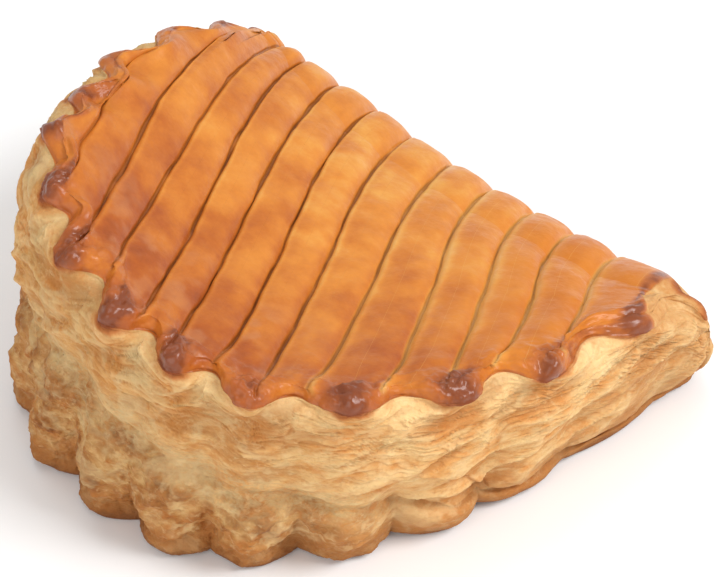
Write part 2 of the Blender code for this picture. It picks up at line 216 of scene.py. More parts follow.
def loft(steps, bottom, foot, wall, rim, top):
    n_lines = len(SCORES)
    g = np.arange(n_lines + 2, dtype=float)
    k = np.concatenate([i + np.array(steps(i)) for i in range(n_lines + 1)] + [[n_lines + 1.0]])
    qf = monotone(g, [POLE_R] + [a for a, b in SCORES[::-1]] + [POLE_L], k)
    qb = monotone(g, [POLE_R + ONCE_ROUND] + [b for a, b in SCORES[::-1]] + [POLE_L], k)
    last = len(k) - 1
    kk, q = np.concatenate([k, k[1:-1][::-1]]), np.concatenate([qf, qb[1:-1][::-1]])
    front = np.concatenate([np.ones(last + 1), -np.ones(last - 1)])
    n = len(q)
    fold, soft = at('fold', q), at('soft', q)
    foot_line, top_line = np.stack([at('bx', q), at('by', q)], 1), np.stack([at('tx', q), at('ty', q)], 1)
    out = np.stack([at('nx', q), at('ny', q)], 1)
    out /= np.hypot(*out.T)[:, None]
    lean = out + np.stack([LEAN * soft, 0 * fold], 1)
    rho = RIM_R * (1 - soft) + RIDGE_R * soft
    rf = FOOT_R * (1 - soft) + FOLD_FOOT_R * soft

    def middle(line):
        mid = (line[:last + 1] + np.concatenate([line[:1], line[last + 1:][::-1], line[last:last + 1]])) / 2
        line_up = mid.copy()
        for end in (0, last):
            pole = line[end] - out[end] * (6.5 if end == 0 else POLE_IN_MM) * MM
            far = np.arange(last + 1)[np.hypot(*(mid - line[end]).T) > 10 * MM]
            m = far.min() if end == 0 else int(np.searchsorted(k, n_lines - 1e-6))
            a = abs(np.arange(last + 1) - end) / abs(m - end)
            line_up[a < 1] = pole + (mid[m] - pole) * (a[a < 1] ** .8)[:, None]
        return np.concatenate([line_up, line_up[1:-1][::-1]])

    edge = top_line - out * rho[:, None]
    on_edge = relief(kk, np.where(front > 0, 1., 0.), front)
    height = top_height(*edge.T) + on_edge - dip(q) * (1 - fold)

    def plan(h):
        return (foot_line + (top_line - foot_line) * h[:, None]
                + out * (side(q, h, height, fold) + flute(q, h) * (1 - fold))[:, None])

    mid_top, mid_foot = middle(top_line), middle(foot_line)
    rows, kind = [], []
    inner = plan(np.zeros(n)) - out * rf[:, None]
    for u in bottom:
        rows.append(np.column_stack([mid_foot + (inner - mid_foot) * u, np.zeros(n)]))
        kind.append(('under', u, 0 * fold, 0 * fold))
    for a in foot:
        z = rf * (1 - np.cos(a))
        rows.append(np.column_stack([plan(z / height) - out * (rf * (1 - np.sin(a)))[:, None], z]))
        kind.append(('foot', a, z / height, 0 * fold))
    for u in wall:
        z = rf + (height - rho - rf) * u
        rows.append(np.column_stack([plan(z / height), z]))
        kind.append(('wall', u, z / height, 0 * fold))
    for a in rim:
        z = height - rho + rho * np.sin(a)
        rows.append(np.column_stack([plan(z / height) - lean * (rho * (1 - np.cos(a)))[:, None], z]))
        kind.append(('rim', a, z / height, rho * a))
    start = plan(np.ones(n)) - lean * rho[:, None]
    even = top_line - lean * rho[:, None]
    span = np.hypot(*(even - mid_top).T)
    far = np.where(kk > 10.5)[0]
    far_part = step(kk[far], 10.5, 11.5)
    for r in top:
        v = np.where(front > 0, 1 - .5 * r, .5 * r)
        bow = BOW * 6.75 * v * (1 - v) ** 2 * np.minimum(1, span / .3) * (1 - step(kk, 11, 12))
        along = span * r / MM
        shift = (start - even) * (np.exp(-(along / 8) ** 2) * (1 - r))[:, None]
        lift = (height - on_edge - top_height(*start.T)) * np.exp(-(along / 7) ** 2) * (1 - r)
        xy = even + (mid_top - even) * r - np.stack([bow, 0 * v], 1)
        near_shift, near_lift = from_edge(xy[far])
        shift[far] += (near_shift - shift[far]) * far_part[:, None]
        lift[far] += (near_lift - lift[far]) * far_part
        xy = xy + shift
        z = top_height(*xy.T) + relief(kk, v, front) + lift
        rows.append(np.column_stack([xy, z]))
        kind.append(('top', r, 1 + 0 * fold, rho * pi / 2 + span * r))
    return np.stack(rows, 1), dict(k=kk, q=q, front=front, fold=fold, soft=soft, out=out, height=height,
                                   rho=rho, span=span, kind=kind, last=last)


def lattice(ix, iy, iz, seed):
    h = (ix.astype(np.uint32) * np.uint32(374761393) + iy.astype(np.uint32) * np.uint32(668265263)
         + iz.astype(np.uint32) * np.uint32(2147483647) + np.uint32(seed * 144665 % 4294967291))
    h = (h ^ (h >> np.uint32(13))) * np.uint32(1274126177)
    h = h ^ (h >> np.uint32(16))
    h = h * np.uint32(2246822519)
    h = h ^ (h >> np.uint32(15))
    return h.astype(np.float64) / 4294967295.0 * 2 - 1


def noise(x, y, z, seed=0):
    """Smooth value noise, -1 to 1."""
    fx, fy, fz = np.floor(x), np.floor(y), np.floor(z)
    ix, iy, iz = fx.astype(np.int64), fy.astype(np.int64), fz.astype(np.int64)
    tx, ty, tz = x - fx, y - fy, z - fz
    tx, ty, tz = (t * t * t * (t * (6 * t - 15) + 10) for t in (tx, ty, tz))
    out = 0
    for a in (0, 1):
        for b in (0, 1):
            for c in (0, 1):
                w = (tx if a else 1 - tx) * (ty if b else 1 - ty) * (tz if c else 1 - tz)
                out = out + w * lattice(ix + a, iy + b, iz + c, seed)
    return out


def fbm(x, y, z, octaves, seed=0, gain=.5):
    total, amp, norm = 0, 1.0, 0
    for o in range(octaves):
        f = 2.03 ** o
        total = total + amp * noise(x * f + 11.3 * o, y * f - 7.1 * o, z * f + 3.7 * o, seed + o)
        norm += amp
        amp *= gain
    return total / norm * 1.6



# the CAD centres the part on its own box
h0 = .8 * .1
def cad_steps(strip):
    between = {10: 9, 12: 13}.get(strip, 3)
    return [0, h0] + list(np.linspace(h0, 1 - h0, between + 2)[1:-1]) + [1 - h0]
coarse, _ = loft(cad_steps, [0, .5, 1], [pi / 4], [0, .1, .22, .34, .44, .54, .64, .74, .84, .92, 1],
                 [pi / 4, pi / 2], [.03, .08, .2, .4, .6, .8, 1])
low, high = coarse.reshape(-1, 3).min(0), coarse.reshape(-1, 3).max(0)
SHIFT = np.array([-(low[0] + high[0]) / 2, -(low[1] + high[1]) / 2, -low[2]]) * FOLD

# ================================================================ fine surface
def fine_steps(strip):
    n = {0: 80, 10: 84, 12: 70}.get(strip, 44)
    u = np.arange(n) / n
    return list(u - .6 * np.sin(2 * pi * u) / (2 * pi))


G, I = loft(fine_steps, [0, .3, .6, .85, 1], np.linspace(0, pi / 2, 7)[1:-1],
            1 - np.linspace(1, 0, 168) ** 1.12, np.linspace(0, pi / 2, 13)[1:], np.linspace(0, 1, 88)[1:] ** 1.15)
P = G * FOLD
nc, nr, _ = P.shape
Q, FRONT, LAST = I['q'], I['front'], I['last']
KIND = np.array([x[0] for x in I['kind']])


def rows(*names):
    return np.isin(KIND, names)[None, :] & np.ones((nc, 1), bool)


def across(a):
    return np.repeat(np.asarray(a)[:, None], nr, 1)


H = np.stack([x[2] for x in I['kind']], 1)                     # share of the height
EDGE = np.stack([x[3] for x in I['kind']], 1) * FOLD * 1000    # mm in from the outermost edge, over the top
K, Qc, FOLDED, SIDE_OF = across(I['k']), across(Q), across(I['fold']), across(FRONT)
V = np.where(SIDE_OF > 0, 1.0, 0.0)
for i in np.where(KIND == 'top')[0]:
    V[:, i] = np.where(FRONT > 0, 1 - .5 * I['kind'][i][1], .5 * I['kind'][i][1])
X, Y, Z = (P[:, :, i] * 1000 for i in range(3))                # mm
TALL = across(I['height']) * FOLD * 1000
BELOW = np.maximum(TALL - Z, 0)
on_top, on_rim, on_wall, under = rows('top'), rows('rim'), rows('wall', 'foot'), rows('under')
arc_part = np.clip(1 - FOLDED, 0, 1)

phase, s = lobe(Qc, H)
tip_c = abs(np.cos(pi * (phase - np.round(phase))))
TIP = tip_c ** 2 * arc_part                                    # 1 on a flute's tip, 0 in an arch
ARCH = (1 - tip_c) * arc_part
phase_top, _ = lobe(Qc, np.ones_like(Qc))
tip_t = abs(np.cos(pi * (phase_top - np.round(phase_top))))
TIP_T, ARCH_T = tip_t ** 2 * arc_part, (1 - tip_t) * arc_part
S = np.clip(s, 0, 1)
A = Qc * ARC_LENGTH * FOLD * 1000                              # mm along the side
SEAM_Z = through(SEAM_MM, S)


def normals(P):
    dc = np.roll(P, -1, 0) - np.roll(P, 1, 0)
    dr = np.empty_like(P)
    dr[:, 1:-1] = P[:, 2:] - P[:, :-2]
    dr[:, 0], dr[:, -1] = P[:, 1] - P[:, 0], P[:, -1] - P[:, -2]
    n = np.cross(dc, dr)
    l = np.linalg.norm(n, axis=2, keepdims=True)
    n = np.where(l > 1e-14, n / np.maximum(l, 1e-14), 0)
    if n[:, KIND == 'top', 2].mean() < 0:
        n = -n
    n[:, KIND == 'under'] = (0, 0, -1)
    return n


N = normals(P)


def bell(x, width):
    return np.exp(-(x / width) ** 2)


# ---- how far each spot is from the nearest score line, in mm (negative on the side towards the sharp corner)
LINE = np.full((nc, nr), 9.0)
for j in range(1, len(SCORES) + 1):
    for way in (1, -1):
        cols = np.where((abs(I['k'] - j) < .5) & (FRONT == way))[0]
        on = np.where((abs(I['k'] - j) < 1e-9) & (FRONT == way))[0]
        if len(on):
            gap = (P[cols] - P[on[0]][None]) * 1000
            LINE[cols] = np.sqrt(gap[:, :, 0] ** 2 + gap[:, :, 1] ** 2 + (.5 * gap[:, :, 2]) ** 2) * np.sign(I['k'][cols] - j)[:, None]
scored = (np.where(SIDE_OF > 0, 1 - step(EDGE, 3.2, 1.2) * np.where(on_top, 1, 1), 1.0) * np.where((K > 10.5) & (SIDE_OF < 0), step(V, .05, .16), 1.0)
          * np.where(on_wall | under, FOLDED * step(H, .35, .8), 1) * (abs(K - 6.5) < 6.4)) * (1 - .5 * step(K, 11.5, 11.7))
wobble = fbm(X / 7, Y / 7, Z / 7, 2, 5)
LINE = LINE + .28 * wobble
late = step(6.5 - K, -.5, 3.5)                                 # the lines open wider towards the sharp corner
cut = bell(LINE, .30 + .06 * late) * (.75 + .45 * noise(X / 6, Y / 6, Z / 6, 7))
shoulder = bell(LINE + 1.1 + .3 * late, .55 + .3 * late)
dent = scored * (-(.50 - .12 * late) * cut + .22 * shoulder)
over_fold = (relief(K, np.zeros_like(K), SIDE_OF) * FOLD * 1000 * step(H, .25, .9)) * FOLDED * np.where(on_top, 0, 1)
dent = dent + over_fold * .3 * (1 - step(EDGE, 0, across(I['rho']) * FOLD * 1000 * 1.5))

pillow = relief(K, V, SIDE_OF) * FOLD * 1000 * np.where(on_top, 1, 0) * np.where(SIDE_OF > 0, 1, step(V, .02, .25))
dent = dent + .45 * pillow

# ---- the top: soft hollows and a fine crinkle in the glaze, stronger near the pinched edge
near_edge = bell(np.maximum(EDGE - 3, 0), 7) * arc_part
soft = fbm(X / 15, Y / 15, Z / 15, 3, 21)
crinkle = fbm(X / 2.4, Y / 2.4, Z / 2.4, 4, 31)
dent = dent + np.where(on_top | on_rim, .30 * soft + (.05 + .30 * near_edge) * crinkle, 0)

# ---- the pinched edge: drops at the tips, domes of raw layers in the arches, and a lip between crust and side
KB = .37 + .10 * np.where(SIDE_OF > 0, V, 0)                    # the crust ends short of the sharp corner
nub = step(KB - K, -.05, .05)
knob = TIP_T ** 1.1 * bell(np.where(on_wall, BELOW - 1.2, np.maximum(abs(EDGE - 4.0) - 1.5, 0)), 2.6) * np.where(on_wall, step(BELOW, 4.4, 1.4), 1) * (1 - .85 * nub) * (1 - .45 * step(K, 1.5, .8))
knots = fbm(X / 2.6, Y / 2.6, Z / 2.6, 3, 33)
dent = dent + knob * (.9 + 1.1 * knots) * (1 - .7 * step(S, .58, .72))
dent = dent - np.where(on_top | on_rim, 1, 0) * 1.2 * ARCH_T * bell(EDGE - 1.8, 3.0)
dome = ARCH_T ** .8 * step(BELOW, 1.6, 4.0) * (1 - step(BELOW, 6.0, 13)) * np.where(on_wall, 1, 0)
dent = dent + dome * (1.9 + .5 * noise(phase_top * 1.7, H * 0, H * 0, 35))
tuck = TIP_T * bell(BELOW - 7, 3.0) * np.where(on_wall, 1, 0)
dent = dent - .9 * tuck
lip = bell(BELOW - 2.0 - .8 * TIP_T - .4 * fbm(X / 5, Y / 5, 0 * X, 2, 37), .5) * np.where(on_wall | on_rim, 1, 0) * arc_part
dent = dent - .55 * lip

# ---- the side: broad lumps, then sheets lying over each other
wall = np.where(on_wall, 1.0, 0.0)
side_in = wall * arc_part * step(Z, 0, 2.5) * step(BELOW, 1.0, 4.0)
lump = fbm(X / 16, Y / 16, Z / 14, 3, 41)
dent = dent + side_in * 1.0 * lump + wall * FOLDED * .35 * lump * step(Z, 0, 3)
upper = step(Z - SEAM_Z, -1.0, 1.0)
warp = fbm(X / 14, Y / 14, Z / 14, 3, 43)
zw = Z + 2.4 * warp + 2.0 * TIP_T * step(BELOW, 20, 4)


def terraces(n, hard):
    base = np.floor(n)
    f = n - base
    return base + step(f, 1 - hard, 1.0), f


sheet_n = 2.1 * fbm(A / 17, zw / 3.4, 0 * A, 3, 51, .5) + zw / 5.0
sheet, sheet_f = terraces(sheet_n * 1.5, .22)
sheets = (sheet - sheet_n * 1.5)                              # sawtooth: each sheet slopes back under the next
fine_n = fbm(A / 9, zw / .95, 0 * A, 3, 55, .55)
wrinkle = bell(fine_n, .13)
patch = step(fbm(A / 12, zw / 6, 0 * A, 2, 57), -.35, .25)
band = bell(BELOW - 10 - 2 * warp, 6.5)
WRINKLE = wrinkle * upper * (.35 * patch + .75 * band * (.35 + .65 * TIP_T)) * side_in
crumb = fbm(X / 3.6, Y / 3.6, Z / 2.8, 4, 61, .6)
blister = 1 - abs(fbm(X / 4.6, Y / 4.6, Z / 3.6, 3, 63)) * 2
LOW = 1 - upper
to_left = step(S, .22, .36)                                   # the lower sheet is crumbly round the tall side
big_fold = 1 - 2 * abs(fbm(A / 12 + .12 * zw, zw / 8, 0 * A, 2, 59))
wall_relief = upper * ((.20 + .30 * band) * sheets + .70 * big_fold) + LOW * (.22 * sheets + to_left * (.85 * crumb + .50 * blister)) - .30 * WRINKLE
RELIEF = np.clip(wall_relief * side_in / .7, -1, 1)
dent = dent + side_in * (wall_relief + .30 * WRINKLE)
dent = dent + side_in * step(S, .20, .30) * (.6 * TIP - 1.1 * ARCH) * bell(Z - 9, 7)
foot_lip = arc_part * wall * to_left * (.7 * bell(Z - 1.6, 1.6) - 1.15 * bell(Z - 4.8 - .6 * warp, 1.3)) * (.6 + .4 * noise(A / 8, 0 * A, 0 * A, 67))
dent = dent + foot_lip
dent = dent - .30 * WRINKLE + side_in * .07 * fbm(A / 4, zw / .6, 0 * A, 3, 65)

# ---- the seam between the two sheets, and the mouth that opens in it
ragged = .6 * fbm(A / 5, 0 * A, 0 * A, 3, 71)
open_here = step(fbm(A / 9, 0 * A, 0 * A, 2, 73), -.6, .1)
seam_cut = bell(Z - SEAM_Z - ragged, .7) * side_in
overhang = step(Z - SEAM_Z - ragged, -.2, .5) * bell(np.maximum(Z - SEAM_Z - ragged - .5, 0), 3.5)
flange = (1 - to_left) * step(SEAM_Z - Z - ragged, -.2, .4) * side_in
seam_cut = seam_cut * (1 - .8 * step(S, .22, .30))
dent = dent - seam_cut * (.3 + .8 * open_here) + side_in * .55 * overhang * open_here * (1 - .8 * step(S, .22, .30)) + .5 * flange
mouth_z = SEAM_Z + 10.5 * np.sin(pi * np.clip((S - .205) / .115, 0, 1)) ** .8
mouth = np.where((S > .205) & (S < .32), 1.0, 0.0) * np.sin(pi * np.clip((S - .205) / .115, 0, 1)) ** .5
dent = dent + side_in * mouth * (.9 * step(Z - mouth_z, -.3, .5) * bell(np.maximum(Z - mouth_z - .5, 0), 4) - .35 * bell(Z - mouth_z + .4, .8))

calm = np.where(SIDE_OF < 0, 1, 0) * bell(K - 10.55, .55) * step(V, .16, .06)      # the ridge ends quietly in the far rim
dent = np.where(under, 0, dent) * (1 - .92 * calm)
P = P + N * (dent / 1000)[:, :, None]
P[:, :, 2] = np.maximum(P[:, :, 2], 0)
P = P + SHIFT

# ================================================================ where the crust is browned, with painted highlights, shade and sheen on the top
corner = nub
irregular = fbm(X / 3.5, Y / 3.5, Z / 3.5, 3, 81)
DARK = (.3, .95, .75, .9, 1, .55, 1, 1, .85, 1, .9, .8, .6, .6, .7, .8)     # how browned each tip is
dark = np.interp(phase_top, np.arange(18), (.8,) + DARK + (.8,))
blob = dark * TIP_T ** 1.4 * bell(np.where(on_wall, np.maximum(BELOW - 1.7, 0), np.maximum(EDGE - 5.6, 0) * .8), np.where(on_wall, 1.7, 2.2))
thin = bell(np.where(on_wall, np.maximum(BELOW - .9, 0), np.maximum(EDGE - .4, 0)), .9) * .42
BROWN = np.clip((np.maximum(blob, thin) + .40 * irregular * np.maximum(blob, thin)) * arc_part, 0, 1) * (1 - .9 * nub)
border = bell(K - KB - .06 + .02 * irregular, .045 + .03 * (1 - step(V, .80, .95))) * (1 - .25 * step(V, .85, .97)) * np.where(on_top | on_rim, 1, FOLDED * step(H, .8, .95)) * (.75 + .3 * irregular)
stripe = (1 - step(K, 1.0, 1.35)) * np.where(SIDE_OF > 0, 1, 0) * bell(np.where(on_wall, np.maximum(BELOW - 1.6, 0), np.maximum(EDGE - 2.2, 0)), 1.0) * (.52 + .25 * irregular) * (1 - nub) * np.where(FOLDED > .5, 0, 1)
BROWN = np.maximum(BROWN, stripe * np.where(on_top | on_rim, 1, arc_part))
tip_line = nub * np.where(SIDE_OF < 0, 1, step(.12 - K, 0, .05)) * bell(np.where(on_wall, BELOW, EDGE * .5), 1.3) * .75
BROWN = np.clip(np.maximum(BROWN, np.maximum(border, tip_line)), 0, 1)
strips = K - np.floor(K)
puffed = 1 - abs(2 * strips - 1) ** 2
blot = fbm(X / 9, Y / 9, Z / 9, 3, 83)
blot2 = fbm(X / 4, Y / 4, Z / 4, 2, 85)
front_v = np.where(on_wall, np.where(SIDE_OF > 0, 1, 0), V)
TONE = (.33 + .15 * np.clip(blot, -.6, 1) * (.35 + .65 * puffed) + .05 * blot2
        + (.16 * TIP_T - .06) * bell(np.where(SIDE_OF > 0, EDGE, 99), 10) * step(K, .5, 3)
        + .27 * step(front_v, .45, .98) * step(K, .5, 4) * (1 - .4 * step(K, 8, 11)) + .12 * step(K, 5, 11)
        - .04 * (1 - step(front_v, .0, .30)) * step(K, 12, 10) + .03 * step(K, 6, 3) + .05 * step(K, 3.2, 1.6) + .16 * (puffed - .7) * late * (1 - .5 * step(front_v, .5, .8)))
# painted highlight on the side of each score line towards the sharp corner, which faces the key light, and painted
# shade on its other side
lit = scored * bell(LINE + .95 + .4 * late, .55 + .55 * late)
TONE = TONE - lit * (.14 + .05 * late) + .08 * scored * bell(LINE - 1.0, .8)
# painted sheen: pinkish-grey patches low on the strips near the front rim, standing for the glaze reflecting the
# overhead light
PAINTED_SHEEN = step(fbm(X / 4.5, Y / 4.5, Z / 4.5, 3, 87), .0, .5) * step(front_v, .66, .85) * step(K, 4, 7) * (.4 + .6 * puffed) * np.where(on_top, 1, 0)
STREAK = step(fine_n, -.25, .45)

attributes = dict(tone=TONE, brown=BROWN, tip=TIP_T, arch=ARCH_T, arc=S, h=H, z=Z, below=BELOW, fold=FOLDED, line=LINE,
                  scored=scored, late=late, corner=corner, seam=Z - SEAM_Z - ragged, upper=upper, wrinkle=WRINKLE,
                  sheet=sheet_f, crumb=crumb, painted_sheen=PAINTED_SHEEN, streak=STREAK, relief=RELIEF, blister=blister, cut=seam_cut, edge=EDGE, k=K, v=V, mouth=mouth * bell(Z - mouth_z, .6),
                  crust=np.where(on_top, 1, np.where(on_rim, 1, np.maximum(arc_part * (1 - step(BELOW, 1.0, 1.6)), FOLDED * step(H + .10 * soft, .15, .75)))))

# ================================================================ meshes
order = np.arange(nc * nr).reshape(nc, nr)
twin = np.concatenate([np.arange(LAST + 1), nc - np.arange(LAST + 1, nc)])
order[:, 0], order[:, -1] = order[twin, 0], order[twin, -1]
FLAT = P.reshape(-1, 3)
NF = normals(P)
NF[:, -1] = (NF[:, -1] + NF[twin, -1]) / 2
NFLAT = NF.reshape(-1, 3)


def make(name, r0, r1, mat):
    a = order[:, r0:r1]
    b = np.roll(order, -1, 0)[:, r0:r1]
    quads = np.stack([a[:, :-1].ravel(), a[:, 1:].ravel(), b[:, 1:].ravel(), b[:, :-1].ravel()], 1)
    used, inv = np.unique(quads, return_inverse=True)
    quads = inv.reshape(quads.shape)
    tri = quads[:, [0, 1, 2, 0, 2, 3]].reshape(-1, 3)
    bad = (tri[:, 0] == tri[:, 1]) | (tri[:, 1] == tri[:, 2]) | (tri[:, 0] == tri[:, 2])
    tri = tri[~bad]
    me = bpy.data.meshes.new(name)
    me.vertices.add(len(used))
    me.vertices.foreach_set('co', FLAT[used].ravel())
    me.loops.add(len(tri) * 3)
    me.loops.foreach_set('vertex_index', tri.ravel().astype(np.int32))
    me.polygons.add(len(tri))
    me.polygons.foreach_set('loop_start', np.arange(0, len(tri) * 3, 3, dtype=np.int32))
    me.update(calc_edges=True)
    me.shade_smooth()
    for key, val in attributes.items():
        me.attributes.new(key, 'FLOAT', 'POINT').data.foreach_set('value', np.asarray(val, float).reshape(-1)[used].astype(np.float32))
    me.materials.append(mat)
    me.normals_split_custom_set_from_vertices(NFLAT[used].tolist())
    ob = bpy.data.objects.new(name, me)
    bpy.context.scene.collection.objects.link(ob)
    print(name, len(tri), 'triangles')
    return ob


# ================================================================ materials
class Nodes:
    """Short hand for building a node tree."""
    def __init__(self, name):
        self.mat = bpy.data.materials.new(name)
        self.mat.use_nodes = True
        self.t = self.mat.node_tree
        self.bsdf = self.t.nodes['Principled BSDF']

    def link(self, value, socket):
        if isinstance(value, bpy.types.NodeSocket):
            self.t.links.new(value, socket)
        elif isinstance(value, tuple) and len(value) == 3 and socket.type == 'RGBA':
            socket.default_value = (*value, 1)
        else:
            socket.default_value = value

    def attr(self, name):
        n = self.t.nodes.new('ShaderNodeAttribute')
        n.attribute_name = name
        return n.outputs['Fac']

    def math(self, op, a, b=0.0, c=0.0, clamp=False):
        n = self.t.nodes.new('ShaderNodeMath')
        n.operation, n.use_clamp = op, clamp
        for i, v in enumerate((a, b, c)):
            if i < len(n.inputs):
                self.link(v, n.inputs[i])
        return n.outputs[0]

    def ramp(self, x, a, b, lo=0.0, hi=1.0, smooth=True):
        n = self.t.nodes.new('ShaderNodeMapRange')
        n.interpolation_type = 'SMOOTHSTEP' if smooth else 'LINEAR'
        n.clamp = True
        self.link(x, n.inputs['Value'])
        for key, v in (('From Min', a), ('From Max', b), ('To Min', lo), ('To Max', hi)):
            n.inputs[key].default_value = v
        return n.outputs[0]

    def mix(self, f, a, b, blend='MIX'):
        n = self.t.nodes.new('ShaderNodeMix')
        n.data_type, n.blend_type = 'RGBA', blend
        n.clamp_factor = True
        self.link(f, n.inputs[0])
        self.link(a, n.inputs[6])
        self.link(b, n.inputs[7])
        return n.outputs[2]

    def mixf(self, f, a, b):
        return self.math('ADD', a, self.math('MULTIPLY', f, self.math('SUBTRACT', b, a)))

    def stops(self, x, table):
        n = self.t.nodes.new('ShaderNodeValToRGB')
        r = n.color_ramp
        while len(r.elements) < len(table):
            r.elements.new(.5)
        for e, (p, c) in zip(r.elements, table):
            e.position, e.color = p, (*c, 1)
        self.link(x, n.inputs[0])
        return n.outputs[0]

    def coords(self, scale=(1, 1, 1), rot=(0, 0, 0)):
        tc = self.t.nodes.new('ShaderNodeTexCoord')
        mp = self.t.nodes.new('ShaderNodeMapping')
        mp.inputs['Scale'].default_value = scale
        mp.inputs['Rotation'].default_value = rot
        self.t.links.new(tc.outputs['Object'], mp.inputs['Vector'])
        return mp.outputs[0]

    def noise(self, size_mm, detail=3.0, rough=.55, stretch=(1, 1, 1), distort=0.0, rot=(0, 0, 0)):
        n = self.t.nodes.new('ShaderNodeTexNoise')
        self.link(self.coords(stretch, rot), n.inputs['Vector'])
        n.inputs['Scale'].default_value = 1000.0 / size_mm
        n.inputs['Detail'].default_value = detail
        n.inputs['Roughness'].default_value = rough
        n.inputs['Distortion'].default_value = distort
        return n.outputs['Fac']

    def bump(self, height, dist_mm, strength=1.0, normal=None):
        n = self.t.nodes.new('ShaderNodeBump')
        n.inputs['Strength'].default_value = strength
        n.inputs['Distance'].default_value = dist_mm / 1000
        self.link(height, n.inputs['Height'])
        if normal is not None:
            self.link(normal, n.inputs['Normal'])
        return n.outputs[0]


def srgb(r, g, b, f=1.0):
    return tuple((((c / 255) / 12.92) if c / 255 <= .04045 else ((c / 255 + .055) / 1.055) ** 2.4) * f for c in (r, g, b))


def crust_colour(m):
    """The egg-washed crust: gold to deep brown, with its score lines, a painted highlight on their lit side and painted
    shade on the other, and painted sheen patches near the front rim.
    """
    tone, brown, line, scored, late = (m.attr(a) for a in ('tone', 'brown', 'line', 'scored', 'late'))
    mottle = m.noise(3.0, 4, .6)
    grain = m.noise(.9, 3, .6)
    t = m.math('ADD', tone, m.math('MULTIPLY', m.math('SUBTRACT', mottle, .5), .22))
    t = m.math('ADD', t, m.math('MULTIPLY', m.math('SUBTRACT', grain, .5), .12))
    base = m.stops(t, ((0, srgb(243, 190, 118)), (.16, srgb(238, 168, 90)), (.32, srgb(228, 142, 62)), (.50, srgb(208, 118, 48)),
                       (.68, srgb(182, 92, 40)), (.85, srgb(150, 70, 36)), (1, srgb(112, 48, 28))))
    floor = m.math('MULTIPLY', m.ramp(m.math('ABSOLUTE', line), .10, .42, 1, 0), scored)
    # painted highlight: a pale band along the lit side of the score lines towards the sharp corner
    painted_lip_highlight = m.math('MULTIPLY', m.math('MULTIPLY', m.ramp(m.math('ABSOLUTE', m.math('ADD', line, .35)), .25, 1.15, 1, 0), scored), m.math('MULTIPLY', late, .90))
    # painted sheen: pinkish-grey patches of the glaze near the front rim
    base = m.mix(m.math('MULTIPLY', m.attr('painted_sheen'), .38), base, srgb(206, 138, 104))
    base = m.mix(m.ramp(m.attr('k'), 4.5, 1.5, 0, .50), base, srgb(218, 124, 32))
    base = m.mix(painted_lip_highlight, base, srgb(238, 184, 116))
    base = m.mix(m.math('MULTIPLY', floor, m.math('SUBTRACT', .75, m.math('MULTIPLY', late, .50))), base, srgb(150, 84, 32))
    edge = m.math('ADD', brown, m.math('MULTIPLY', m.math('MULTIPLY', m.math('SUBTRACT', mottle, .5), brown), 1.0))
    base = m.mix(m.ramp(edge, .22, .50, 0, .75), base, srgb(184, 96, 44))
    return m.mix(m.ramp(edge, .42, .85, 0, .88), base, srgb(130, 60, 28))


